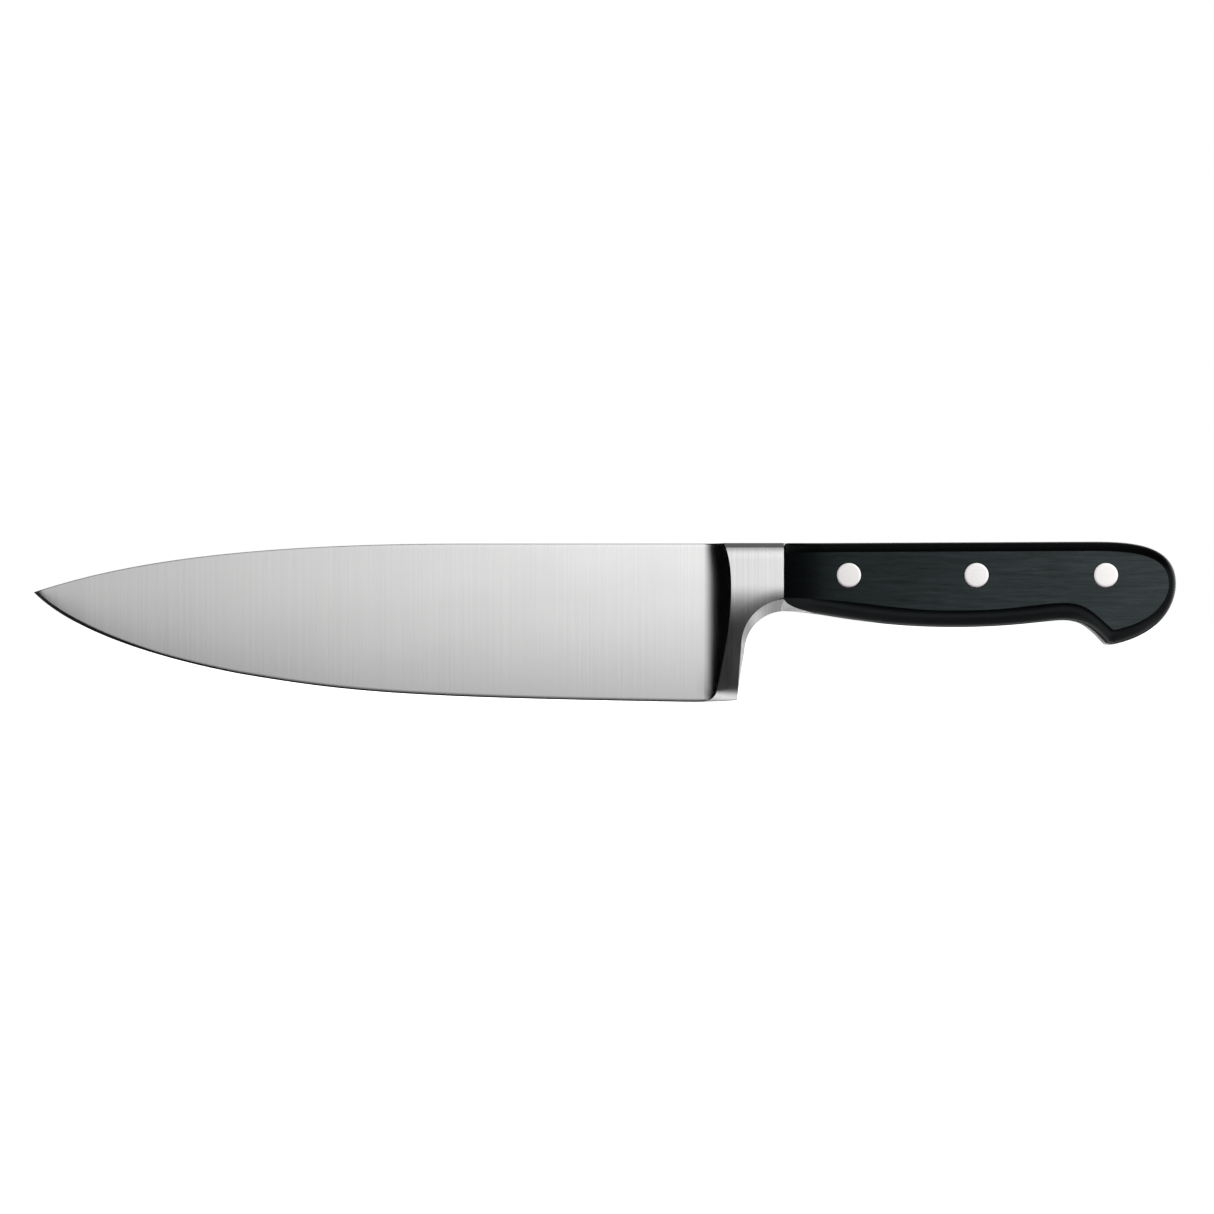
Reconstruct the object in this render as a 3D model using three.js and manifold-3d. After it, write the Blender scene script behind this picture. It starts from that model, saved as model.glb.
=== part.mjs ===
// A forged chef's knife with a full tang and riveted handle scales, in millimetres.
//
// The shapes are drawn with x running from the blade's tip to the handle's butt, y across the
// thickness (y = 0 is the centre plane) and z up from the lowest point of the cutting edge.
// The finished group is moved so that x = 0 is half way along the knife.
import * as THREE from 'three';
import { mergeVertices } from 'three/addons/utils/BufferGeometryUtils.js';
import Module from 'manifold-3d';

const wasm = await Module();
wasm.setup();

// ---------------------------------------------------------------- driving dimensions

const OVERALL_LENGTH = 330.2;
const TIP_Z = 31.8;
const SPINE_Z = 45.85;
const BOLSTER_TOP_Z = 45.95;
const HANDLE_TOP_Z = 46.4;

// Blade: thickness tapers towards the tip, and from the spine to a small sharpened bevel, whose
// height is given as [x, height] pairs. The slopes are of one face against the centre plane.
const SPINE_THICKNESS_AT_HEEL = 2.6;
const SPINE_THICKNESS_AT_TIP = 0.7;
const STEEPEST_FACE_SLOPE = 0.028;
const SHARPENED_SLOPE = 0.24;
const SHARPENED_HEIGHTS = [[0, 1.15], [14, 1.05], [36, 0.55], [75, 0.4], [193, 0.28], [210, 0.28]];
const BLADE_HEEL_X = 202.6;
const HEEL_RISE = 0.4;
const BLADE_STATIONS = 44;
const STATION_CROWDING = 1.6;

// Hollow-ground fillet that joins the blade's face to the crest at the front of the bolster.
// Its pulls are shares of the fillet's width and depth.
const FILLET_START_X = 193.9;
const FILLET_PULLS = [[0.7, 0], [0.86, 0.42]];
const FILLET_STEPS = 9;
const FILLET_SINK = 0.03;

// Bolster: its side falls away below BOLSTER_SHOULDER_Z towards the edge.
const BOLSTER_HALF = 7;
const BOLSTER_SHOULDER_Z = 34;
const BOLSTER_FOOT_Z = 0.7;
const HEEL_FACET = { half: 1.5, z: 4.4, footHalf: 0.05, pull: [2.2, 1.02] };
const TOP_CHAMFER = { height: 1.3, width: 1.2 };

// Choil, the hollow behind the heel: a leaning line that runs into an arc under the bolster.
const CHOIL_ARC = { x: 217.3, z: 14.8, radius: 11.5 };
const CHOIL_LEAN = 0.14;
const RELIEF_ARC = { x: 217.95, z: 16.5, radius: 13.2 };
const RELIEF_LEAN = 0.06;
const RELIEF_SHARE = 0.6;
const CHOIL_ARC_STEPS = 9;

// Tang and scales.
const TANG_HALF = 1.7;
const TANG_ROOT = { x: 212, low: 28, top: 45.5 };
const TANG_SHOWS_AT_BEAK = 0.3;
const SCALE_FRONT_X = 217;
const SCALE_JOINT_GAP = 0.1;
const SCALE_HALF = 8.8;
const SCALE_SIDE_WALL_HALF = 4;
const SCALE_SLOPE_END_X = 229;
const EDGE_ROUND_STEPS = 4;
const CURVE_STEPS = 9;

// The bolster's tail fills the hollow under the scales' lower front corner, up to this line
// in side view, and is cut off where it would be too thin.
const TAIL_LINE = { start: [217, 29.8], leave: [218.6, 26.2], land: [232, 24.6], end: [245, 22.9] };
const TAIL_END_X = 238;
const TAIL_ROOT = { x: 214, z: 27.8 };

// Cutler's rivets: a solid pin pressed into a tubular sleeve.
const RIVET_Z = 36.7;
const RIVET_X = { front: 235.5, middle: 272.2, rear: 309.4 };
const RIVET_HEAD = { radius: 3.55, height: 1.4, belowFace: 0.03 };
const SLEEVE = { radius: 2.4, length: 13.2, bore: 1.6, boreDepth: 11.6 };
const PIN = { radius: 1.5, length: 11.4, tipChamfer: 0.4 };
const HEAD_CLEARANCE = 0.06;
const SHANK_CLEARANCE = 0.15;
const ROUND_SEGMENTS = 28;

// ---------------------------------------------------------------- materials

const satinSteel = { color: 0xc9cac8, roughness: 0.35, metalness: 1 };
const rivetSteel = { color: 0xe6e5e4, roughness: 0.25, metalness: 1 };
const blackPolymer = { color: 0x101314, roughness: 0.38, metalness: 0 };

// ---------------------------------------------------------------- solid helpers

// Turns a closed geometry into a solid for cutting and joining.
function toSolid(geometry) {
  const bare = geometry.clone();
  bare.deleteAttribute('normal');
  bare.deleteAttribute('uv');
  const merged = mergeVertices(bare);
  return new wasm.Manifold(new wasm.Mesh({
    numProp: 3,
    vertProperties: new Float32Array(merged.attributes.position.array),
    triVerts: new Uint32Array(merged.index.array),
  }));
}

function toGeometry(solid) {
  const mesh = solid.getMesh();
  const geometry = new THREE.BufferGeometry();
  geometry.setAttribute('position', new THREE.BufferAttribute(mesh.vertProperties, 3));
  geometry.setIndex(new THREE.BufferAttribute(mesh.triVerts, 1));
  geometry.computeVertexNormals();
  return geometry;
}

// Six times the signed volume: negative when the faces point inwards.
function signedVolume(points, faces) {
  return faces.reduce((sum, [a, b, c]) => {
    const cross = new THREE.Vector3().crossVectors(points[b], points[c]);
    return sum + points[a].dot(cross);
  }, 0);
}

// Skins a stack of rings that all have the same number of points, and closes both ends.
// `flatten` turns a point into the two coordinates of its ring's plane.
function skin(rings, flatten) {
  const clockwise = THREE.ShapeUtils.isClockWise(rings.at(-1).map(flatten));
  const stack = clockwise ? rings.map((ring) => [...ring].reverse()) : rings;
  const count = stack[0].length;
  const points = stack.flat();
  const faces = [];
  for (let level = 0; level + 1 < stack.length; level += 1) {
    for (let i = 0; i < count; i += 1) {
      const here = level * count + i;
      const next = level * count + (i + 1) % count;
      faces.push([here, next, next + count], [here, next + count, here + count]);
    }
  }
  const cap = (level) => THREE.ShapeUtils.triangulateShape(stack[level].map(flatten), [])
    .map((face) => face.map((corner) => corner + level * count));
  const last = stack.length - 1;
  faces.push(...cap(last), ...cap(0).map((face) => face.reverse()));
  return closedGeometry(points, faces);
}

// Welds points that coincide, drops the faces that this flattens, and faces the rest outwards.
function closedGeometry(points, faces) {
  const inwards = signedVolume(points, faces) < 0;
  const outward = inwards ? faces.map((face) => [...face].reverse()) : faces;
  const loose = new THREE.BufferGeometry().setFromPoints(points);
  loose.setIndex(outward.flat());
  const welded = mergeVertices(loose, 1e-3);
  const index = [...welded.index.array];
  const kept = [];
  for (let i = 0; i < index.length; i += 3) {
    const face = index.slice(i, i + 3);
    if (new Set(face).size === 3) kept.push(...face);
  }
  welded.setIndex(kept);
  return welded;
}

// A flat outline drawn in x and z, thickened from y = low to y = high.
function slab(outline, low, high) {
  const geometry = new THREE.ExtrudeGeometry(outline, {
    depth: high - low,
    bevelEnabled: false,
    curveSegments: CURVE_STEPS,
  });
  geometry.rotateX(Math.PI / 2);
  geometry.translate(0, high, 0);
  return toSolid(geometry);
}

// A plan outline drawn in x and y, standing from z = 0 to above the spine.
function column(outline) {
  const geometry = new THREE.ExtrudeGeometry(outline, {
    depth: 2 * SPINE_Z,
    bevelEnabled: false,
    curveSegments: CURVE_STEPS,
  });
  return toSolid(geometry);
}

// A round bar along y whose base is at (x, y) = (0, 0), from a profile of [radius, height] pairs.
function turned(profile) {
  const points = profile.map(([radius, height]) => new THREE.Vector2(radius, height));
  return new THREE.LatheGeometry(points, ROUND_SEGMENTS);
}

// ---------------------------------------------------------------- curves

const cubic = (...points) => new THREE.CubicBezierCurve(
  ...points.map(([a, b]) => new THREE.Vector2(a, b)),
);

// The y value of a curve whose x value only rises, at a given x.
function heightAt(curve, x) {
  let [low, high] = [0, 1];
  for (let step = 0; step < 40; step += 1) {
    const middle = (low + high) / 2;
    if (curve.getPoint(middle).x < x) low = middle;
    else high = middle;
  }
  return curve.getPoint(low).y;
}

const SPINE_CURVE_END_X = 125;
const BELLY_JOIN = [60, 8.1];
const EDGE_LEVEL_X = 190;
const spineCurve = cubic([0, TIP_Z], [21, 38.6], [52, SPINE_Z], [SPINE_CURVE_END_X, SPINE_Z]);
const bellyCurve = cubic([0, TIP_Z], [11, 20.5], [36, 12.6], BELLY_JOIN);
const heelCurve = cubic(BELLY_JOIN, [91, 2.9], [106, 1.35], [EDGE_LEVEL_X, 0]);

// The crest in side view, from the cutting edge to the bolster's top, as [height, x].
const CREST = {
  foot: cubic([0, 194], [0.6, 196.4], [2.4, 197.4], [4.2, 197.8]),
  side: cubic([4.2, 197.8], [16, 200.5], [24, 201.75], [33, 201.75]),
  top: cubic([33, 201.75], [38, 201.75], [42, 201.3], [BOLSTER_TOP_Z, 199.7]),
};

function crestX(z) {
  const { foot, side, top } = CREST;
  const part = [foot, side].find((curve) => z <= curve.v3.x) ?? top;
  return heightAt(part, z);
}

const spineZ = (x) => (x < SPINE_CURVE_END_X ? heightAt(spineCurve, x) : SPINE_Z);

// The cutting edge: a curved belly, then nearly level, with a slight rise into the heel.
function edgeZ(x) {
  if (x < BELLY_JOIN[0]) return heightAt(bellyCurve, x);
  if (x < EDGE_LEVEL_X) return heightAt(heelCurve, x);
  return HEEL_RISE * ((x - EDGE_LEVEL_X) / (BLADE_HEEL_X - EDGE_LEVEL_X)) ** 2;
}

// ---------------------------------------------------------------- blade

function sharpenedHeight(x) {
  const next = Math.max(1, SHARPENED_HEIGHTS.findIndex(([far]) => far > x));
  const [[x0, height0], [x1, height1]] = SHARPENED_HEIGHTS.slice(next - 1, next + 1);
  return THREE.MathUtils.mapLinear(x, x0, x1, height0, height1);
}

// The section at one distance from the tip, from the edge round the spine and back.
function bladeRing(x) {
  const [low, high] = [edgeZ(x), spineZ(x)];
  const bevelHeight = Math.min(sharpenedHeight(x), (high - low) / 2);
  const shoulderHalf = SHARPENED_SLOPE * bevelHeight;
  const share = x / FILLET_START_X;
  const spineHalf = Math.min(
    THREE.MathUtils.lerp(SPINE_THICKNESS_AT_TIP, SPINE_THICKNESS_AT_HEEL, share) / 2,
    shoulderHalf + STEEPEST_FACE_SLOPE * (high - low),
  );
  return [
    new THREE.Vector3(x, 0, low),
    new THREE.Vector3(x, shoulderHalf, low + bevelHeight),
    new THREE.Vector3(x, spineHalf, high),
    new THREE.Vector3(x, -spineHalf, high),
    new THREE.Vector3(x, -shoulderHalf, low + bevelHeight),
  ];
}

// Half the blade's thickness where it meets the fillet, without the sharpened bevel.
function bladeHalfAt(z) {
  const shoulderHalf = SHARPENED_SLOPE * sharpenedHeight(FILLET_START_X);
  return THREE.MathUtils.mapLinear(z, 0, SPINE_Z, shoulderHalf, SPINE_THICKNESS_AT_HEEL / 2);
}

// Stations crowd towards the tip, where the outline turns fastest.
function buildBlade() {
  const rings = [];
  for (let station = 0; station <= BLADE_STATIONS; station += 1) {
    rings.push(bladeRing(BLADE_HEEL_X * (station / BLADE_STATIONS) ** STATION_CROWDING));
  }
  return toSolid(skin(rings, ({ y, z }) => new THREE.Vector2(y, z)));
}

// ---------------------------------------------------------------- bolster

const heelFacet = new THREE.QuadraticBezierCurve(
  new THREE.Vector2(0, HEEL_FACET.footHalf),
  new THREE.Vector2(...HEEL_FACET.pull),
  new THREE.Vector2(HEEL_FACET.z, HEEL_FACET.half),
);

const bolsterSide = cubic(
  [HEEL_FACET.z, HEEL_FACET.half],
  [15, 3.9],
  [24, BOLSTER_HALF],
  [BOLSTER_SHOULDER_Z, BOLSTER_HALF],
);

// Half the bolster's thickness at a height.
function bolsterHalfAt(z) {
  const chamferZ = BOLSTER_TOP_Z - TOP_CHAMFER.height;
  if (z < HEEL_FACET.z) return heightAt(heelFacet, z);
  if (z < BOLSTER_SHOULDER_Z) return heightAt(bolsterSide, z);
  return BOLSTER_HALF - TOP_CHAMFER.width * Math.max(0, z - chamferZ) / TOP_CHAMFER.height;
}

// The x of a line that leans back as it rises and runs into an arc, at a height.
function hollowX(z, arc, lean) {
  const length = Math.hypot(1, lean);
  const touch = { x: arc.x - arc.radius / length, z: arc.z + arc.radius * lean / length };
  if (z < touch.z) return touch.x - lean * (touch.z - z);
  const rise = Math.min(z - arc.z, arc.radius);
  return arc.x - Math.sqrt(arc.radius ** 2 - rise ** 2);
}

const BOLSTER_REAR_X = SCALE_FRONT_X - SCALE_JOINT_GAP;
const CHOIL_TOP_Z = CHOIL_ARC.z + CHOIL_ARC.radius;
const RELIEF_TOP_Z = RELIEF_ARC.z + RELIEF_ARC.radius;

// The bolster's level section at one height: its rear, the relief along the choil, the side
// and the hollow fillet, on both sides.
function bolsterRing(z) {
  const half = bolsterHalfAt(z);
  const rearX = Math.min(hollowX(z, CHOIL_ARC, CHOIL_LEAN), BOLSTER_REAR_X);
  const reliefX = Math.min(hollowX(z, RELIEF_ARC, RELIEF_LEAN), rearX);
  const risen = THREE.MathUtils.clamp((z - CHOIL_TOP_Z) / (RELIEF_TOP_Z - CHOIL_TOP_Z), 0, 1);
  const rearHalf = half * THREE.MathUtils.lerp(RELIEF_SHARE, 1, Math.sqrt(1 - (1 - risen) ** 2));
  const root = bladeHalfAt(z) - FILLET_SINK;
  const fillet = cubic([0, 0], ...FILLET_PULLS, [1, 1]);
  const oneSide = [new THREE.Vector3(rearX, rearHalf, z), new THREE.Vector3(reliefX, half, z)];
  for (let step = FILLET_STEPS; step >= 0; step -= 1) {
    const { x: across, y: outwards } = fillet.getPoint(step / FILLET_STEPS);
    oneSide.push(new THREE.Vector3(
      THREE.MathUtils.lerp(FILLET_START_X, crestX(z), across),
      THREE.MathUtils.lerp(root, half, outwards),
      z,
    ));
  }
  const otherSide = oneSide.map(({ x, y }) => new THREE.Vector3(x, -y, z)).reverse();
  return [...oneSide, ...otherSide];
}

// Evenly spaced values after `from`, up to and including `to`.
function spread(from, to, steps) {
  return Array.from({ length: steps }, (_, i) => THREE.MathUtils.lerp(from, to, (i + 1) / steps));
}

// Levels are even up the heel and crowd where the arc turns level under the scales.
function buildBolster() {
  const heights = [
    BOLSTER_FOOT_Z,
    ...spread(BOLSTER_FOOT_Z, HEEL_FACET.z, 3),
    ...spread(HEEL_FACET.z, CHOIL_ARC.z, 3),
    ...spread(0, Math.PI / 2, CHOIL_ARC_STEPS).map((a) => CHOIL_ARC.z + CHOIL_ARC.radius * Math.sin(a)),
    ...spread(CHOIL_TOP_Z, RELIEF_TOP_Z, 3),
    ...spread(RELIEF_TOP_Z, BOLSTER_SHOULDER_Z, 2),
    ...spread(BOLSTER_SHOULDER_Z, BOLSTER_TOP_Z - TOP_CHAMFER.height, 3),
    BOLSTER_TOP_Z,
  ];
  return toSolid(skin(heights.map(bolsterRing), ({ x, y }) => new THREE.Vector2(x, y)));
}

// ---------------------------------------------------------------- handle outlines

// Draws the handle's edge from the bolster's top round the butt and the beak to the choil.
// `inset` draws the beak further in.
function traceHandle(shape, inset) {
  return shape
    .lineTo(304, HANDLE_TOP_Z)
    .bezierCurveTo(315, HANDLE_TOP_Z, OVERALL_LENGTH, 46.8, OVERALL_LENGTH, 34.2)
    .bezierCurveTo(OVERALL_LENGTH, 31.5, 328.9, 19.9 + inset, 311.8 + inset, 16.5 + inset)
    .quadraticCurveTo(310.3 + inset, 16.4 + inset, 309.6 + inset, 17.1 + inset)
    .bezierCurveTo(304.8 + inset, 22.4 + inset, 302.5, 23.7, 297.5, 23.7)
    .bezierCurveTo(293, 23.7, 284, 21.7, 266, 21.7)
    .bezierCurveTo(240, 21.7, 229, 26.1, SCALE_FRONT_X, CHOIL_TOP_Z);
}

// The tang starts inside the bolster.
function tangOutline() {
  return traceHandle(new THREE.Shape()
    .moveTo(TANG_ROOT.x, TANG_ROOT.low)
    .lineTo(TANG_ROOT.x, TANG_ROOT.top)
    .lineTo(SCALE_FRONT_X, BOLSTER_TOP_Z), 0);
}

// A scale's outer edge follows the tang's but leaves a little metal showing at the beak.
function scaleRim() {
  return traceHandle(new THREE.Shape()
    .moveTo(SCALE_FRONT_X, CHOIL_TOP_Z)
    .lineTo(SCALE_FRONT_X, BOLSTER_TOP_Z), TANG_SHOWS_AT_BEAK);
}

// The edge of a scale's flat outer face, drawn with the same strokes as the rim.
function scaleFaceEdge() {
  return new THREE.Shape()
    .moveTo(SCALE_FRONT_X, 30.1)
    .lineTo(SCALE_FRONT_X, 43.6)
    .lineTo(304, 43.9)
    .bezierCurveTo(317, 43.9, 327.5, 43.2, 327.5, 34)
    .bezierCurveTo(327.5, 33, 327.1, 24.3, 312.4, 21.05)
    .quadraticCurveTo(311.7, 20.8, 311.1, 21.3)
    .bezierCurveTo(305.8, 25.8, 304, 28.7, 297.7, 28.7)
    .bezierCurveTo(289.5, 28.7, 284.5, 26.5, 265, 26.5)
    .bezierCurveTo(248, 26.5, 236, 30.1, SCALE_FRONT_X, 30.1);
}

function traceTailLine(shape, drop) {
  const { leave, land, end } = TAIL_LINE;
  return shape.bezierCurveTo(leave[0], leave[1] - drop, land[0], land[1] - drop, end[0], end[1] - drop);
}

// The side view of the room that the scales fill, above the bolster's tail.
function scaleRegion() {
  return traceTailLine(new THREE.Shape().moveTo(...TAIL_LINE.start), 0)
    .lineTo(TAIL_LINE.end[0], 0)
    .lineTo(OVERALL_LENGTH + 1, 0)
    .lineTo(OVERALL_LENGTH + 1, 2 * SPINE_Z)
    .lineTo(SCALE_FRONT_X, 2 * SPINE_Z);
}

// The side view of the room below that line, back to where the tail ends.
function tailRegion() {
  const [startX, startZ] = TAIL_LINE.start;
  return traceTailLine(new THREE.Shape()
    .moveTo(TAIL_ROOT.x, TAIL_ROOT.z)
    .lineTo(startX - SCALE_JOINT_GAP, startZ - SCALE_JOINT_GAP), SCALE_JOINT_GAP)
    .lineTo(TAIL_ROOT.x, 0);
}

// The plan view of one scale: flat on the tang, and sloping down to the bolster's thickness.
function scalePlan() {
  return new THREE.Shape()
    .moveTo(SCALE_FRONT_X, TANG_HALF)
    .lineTo(OVERALL_LENGTH + 1, TANG_HALF)
    .lineTo(OVERALL_LENGTH + 1, SCALE_HALF + 1)
    .lineTo(SCALE_SLOPE_END_X, SCALE_HALF + 1)
    .lineTo(SCALE_SLOPE_END_X, SCALE_HALF)
    .quadraticCurveTo(SCALE_SLOPE_END_X - 4, SCALE_HALF, SCALE_FRONT_X, BOLSTER_HALF);
}

// ---------------------------------------------------------------- rivets

const headY = SCALE_HALF - RIVET_HEAD.belowFace;
const headSeatY = headY - RIVET_HEAD.height;

// A cylinder along y between two distances from the centre plane.
function bore(x, radius, low, high) {
  const geometry = new THREE.CylinderGeometry(radius, radius, high - low, ROUND_SEGMENTS);
  geometry.translate(x, (low + high) / 2, RIVET_Z);
  return toSolid(geometry);
}

// The stepped hole through the scale on the +y side.
function scaleHole(x) {
  const head = bore(x, RIVET_HEAD.radius + HEAD_CLEARANCE, headSeatY - HEAD_CLEARANCE, SCALE_HALF + 1);
  const shank = bore(x, SLEEVE.radius + SHANK_CLEARANCE, 0, SCALE_HALF);
  return head.add(shank);
}

// A rivet half stands on its head at y = 0 and reaches along +y.
function pinProfile() {
  const tip = RIVET_HEAD.height + PIN.length;
  return [
    [0, 0],
    [RIVET_HEAD.radius, 0],
    [RIVET_HEAD.radius, RIVET_HEAD.height],
    [PIN.radius, RIVET_HEAD.height],
    [PIN.radius, tip - PIN.tipChamfer],
    [PIN.radius - PIN.tipChamfer, tip],
    [0, tip],
  ];
}

function sleeveProfile() {
  const mouth = RIVET_HEAD.height + SLEEVE.length;
  const floor = mouth - SLEEVE.boreDepth;
  return [
    [0, 0],
    [RIVET_HEAD.radius, 0],
    [RIVET_HEAD.radius, RIVET_HEAD.height],
    [SLEEVE.radius, RIVET_HEAD.height],
    [SLEEVE.radius, mouth],
    [SLEEVE.bore, mouth],
    [SLEEVE.bore, floor],
    [0, floor],
  ];
}

// ---------------------------------------------------------------- assembly

// The part of the handle's own outline that the tail fills, as thick as the scales' side walls.
function buildTail() {
  const wall = SCALE_SIDE_WALL_HALF;
  const front = new THREE.Shape()
    .moveTo(TAIL_ROOT.x, -wall)
    .lineTo(TAIL_END_X, -wall)
    .lineTo(TAIL_END_X, wall)
    .lineTo(TAIL_ROOT.x, wall);
  return slab(tangOutline(), -wall, wall)
    .intersect(slab(tailRegion(), -wall, wall))
    .intersect(column(front));
}

// The blade, bolster, tail and tang are one forging.
function buildForging() {
  let forging = buildBlade()
    .add(buildBolster())
    .add(buildTail())
    .add(slab(tangOutline(), -TANG_HALF, TANG_HALF));
  for (const x of Object.values(RIVET_X)) {
    forging = forging.subtract(bore(x, SLEEVE.radius + SHANK_CLEARANCE, -2 * TANG_HALF, 2 * TANG_HALF));
  }
  return toGeometry(forging);
}

// One scale on the +y side: flat face, rounded edge, side wall, and the slope to the bolster.
function buildScale() {
  const rim = scaleRim().getPoints(CURVE_STEPS);
  const face = scaleFaceEdge().getPoints(CURVE_STEPS);
  const rings = [rim.map((point) => new THREE.Vector3(point.x, 0, point.y))];
  for (let step = 0; step <= EDGE_ROUND_STEPS; step += 1) {
    const angle = Math.PI / 2 * step / EDGE_ROUND_STEPS;
    const y = THREE.MathUtils.lerp(SCALE_SIDE_WALL_HALF, SCALE_HALF, Math.sin(angle));
    rings.push(rim.map((point, i) => {
      const { x, y: z } = point.clone().lerp(face[i], 1 - Math.cos(angle));
      return new THREE.Vector3(x, y, z);
    }));
  }
  const body = toSolid(skin(rings, ({ x, z }) => new THREE.Vector2(x, z)));
  let scale = body
    .intersect(column(scalePlan()))
    .intersect(slab(scaleRegion(), 0, 2 * SCALE_HALF));
  for (const x of Object.values(RIVET_X)) scale = scale.subtract(scaleHole(x));
  return toGeometry(scale);
}

function part(name, geometry, finish) {
  const mesh = new THREE.Mesh(geometry, new THREE.MeshStandardMaterial(finish));
  mesh.name = name;
  return mesh;
}

// The left scale is the right one seen in a mirror, so its faces are turned to face outwards.
function mirrored(geometry) {
  const copy = geometry.clone().scale(1, -1, 1);
  const index = copy.index.array;
  for (let i = 0; i < index.length; i += 3) [index[i], index[i + 1]] = [index[i + 1], index[i]];
  return copy;
}

// Sleeves go in from the left (-y) side and pins from the right (+y) side.
function sleeve(x, place) {
  const mesh = part(`rivet_sleeve_${place}`, turned(sleeveProfile()), rivetSteel);
  mesh.position.set(x, -headY, RIVET_Z);
  return mesh;
}

function pin(x, place) {
  const mesh = part(`rivet_pin_${place}`, turned(pinProfile()), rivetSteel);
  mesh.position.set(x, headY, RIVET_Z);
  mesh.rotation.x = Math.PI;
  return mesh;
}

const knife = new THREE.Group();
const scale = buildScale();
knife.add(part('blade_forging', buildForging(), satinSteel));
knife.add(part('scale_right', scale, blackPolymer));
knife.add(part('scale_left', mirrored(scale), blackPolymer));
for (const [place, x] of Object.entries(RIVET_X)) knife.add(sleeve(x, place), pin(x, place));
knife.position.x = -OVERALL_LENGTH / 2;

export default knife;
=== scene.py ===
"""The looks of a forged chef's knife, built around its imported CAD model.

Shapes are worked out in millimetres in the knife's own side view: x runs from the blade's tip
to the butt, y across the thickness and z up from the cutting edge. to_frame() turns them into
the frame's metres.
"""

import math

import bmesh
import bpy
import numpy as np
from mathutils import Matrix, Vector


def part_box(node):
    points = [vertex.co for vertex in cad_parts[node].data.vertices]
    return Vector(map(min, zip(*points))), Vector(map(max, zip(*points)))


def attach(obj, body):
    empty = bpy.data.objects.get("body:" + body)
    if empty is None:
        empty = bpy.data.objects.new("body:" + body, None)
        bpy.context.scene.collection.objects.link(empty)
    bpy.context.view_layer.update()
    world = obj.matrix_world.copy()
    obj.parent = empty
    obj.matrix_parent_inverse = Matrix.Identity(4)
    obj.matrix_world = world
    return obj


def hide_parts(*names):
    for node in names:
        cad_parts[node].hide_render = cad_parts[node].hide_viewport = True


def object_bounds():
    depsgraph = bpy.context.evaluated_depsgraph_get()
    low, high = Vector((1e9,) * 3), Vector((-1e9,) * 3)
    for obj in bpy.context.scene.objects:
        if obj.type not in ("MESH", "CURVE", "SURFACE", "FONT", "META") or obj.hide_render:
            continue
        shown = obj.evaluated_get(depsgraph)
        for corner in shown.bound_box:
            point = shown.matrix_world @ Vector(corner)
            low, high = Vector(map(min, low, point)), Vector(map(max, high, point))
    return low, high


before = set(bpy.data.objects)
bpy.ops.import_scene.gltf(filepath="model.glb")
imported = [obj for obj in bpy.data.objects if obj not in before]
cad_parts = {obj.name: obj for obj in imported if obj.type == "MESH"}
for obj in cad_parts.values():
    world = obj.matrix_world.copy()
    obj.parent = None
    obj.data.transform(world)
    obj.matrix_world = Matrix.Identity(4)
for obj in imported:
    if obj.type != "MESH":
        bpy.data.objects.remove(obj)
cad_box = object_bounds()

# ---------------------------------------------------------------- sizes taken from the frame

# A millimetre, in the frame's metres.
MM = 0.001
forging_low, forging_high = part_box("blade_forging")
scale_low, scale_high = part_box("scale_right")

TIP_X = forging_low.x
LENGTH = (forging_high.x - TIP_X) / MM
BOLSTER_HALF = forging_high.y / MM
SCALE_FRONT = (scale_low.x - TIP_X) / MM
SCALE_HALF = scale_high.y / MM
TANG_HALF = scale_low.y / MM
HANDLE_TOP = scale_high.z / MM


def rivet_place(sleeve_node):
    """A rivet's centre in the side view and its head's radius, all in mm."""
    low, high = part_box(sleeve_node)
    x = ((low.x + high.x) / 2 - TIP_X) / MM
    z = (low.z + high.z) / 2 / MM
    return x, z, (high.x - low.x) / 2 / MM


RIVETS = {place: rivet_place(f"rivet_sleeve_{place}") for place in ("front", "middle", "rear")}

# ---------------------------------------------------------------- driving dimensions, in mm

# Blade
TIP_Z = 31.8
SPINE_Z = 45.85
SPINE_HALF_AT_HEEL = 1.3
SPINE_HALF_AT_TIP = 0.35
FACE_SLOPE = 0.028
SHARPENED_SLOPE = 0.24
# The sharpened bevel's height along the blade: [distance from the tip, height].
SHARPENED_HEIGHTS = ((0, 1.15), (14, 1.05), (36, 0.55), (75, 0.4), (193, 0.28))
TIP_THINS_OVER = 0.8
FACE_CROWN = 0.3
SPINE_EASE = 0.22
HEEL_X = 202.6
HEEL_RISE = 0.4

# Hollow fillet between the blade's face and the bolster. The pulls are the middle points of the curve
# across it, as shares of the way along and outwards from its start to the crest.
FILLET_START = 193.9
FILLET_PULLS = ((0.7, 0), (0.86, 0.42))

# Bolster. Each arc is (x, z, radius). A lean is how far back the line below an arc runs for each mm
# that it rises.
BOLSTER_TOP = 45.95
BOLSTER_SHOULDER = 34.0
FACET_TOP = 4.4
FACET_HALF = 1.5
FACET_SLANT = 0.2
FACET_SLANT_RUN_IN = 2.0
CHAMFER_HEIGHT = 1.3
CHAMFER_WIDTH = 1.2
TOP_ROLL_DEPTH = 0.38
TOP_ROLL_HEIGHT = 3.2
JOINT_GAP = 0.1
CHOIL_ARC = (217.3, 14.8, 11.5)
CHOIL_LEAN = 0.14
RELIEF_ARC = (217.95, 16.5, 13.2)
RELIEF_LEAN = 0.06
RELIEF_ROLL_DEPTH = 0.16
RELIEF_ROLL_WIDTH = 4.0
RELIEF_LEAST_WIDTH = 0.02
RELIEF_LEAST_SPAN = 0.01

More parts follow.
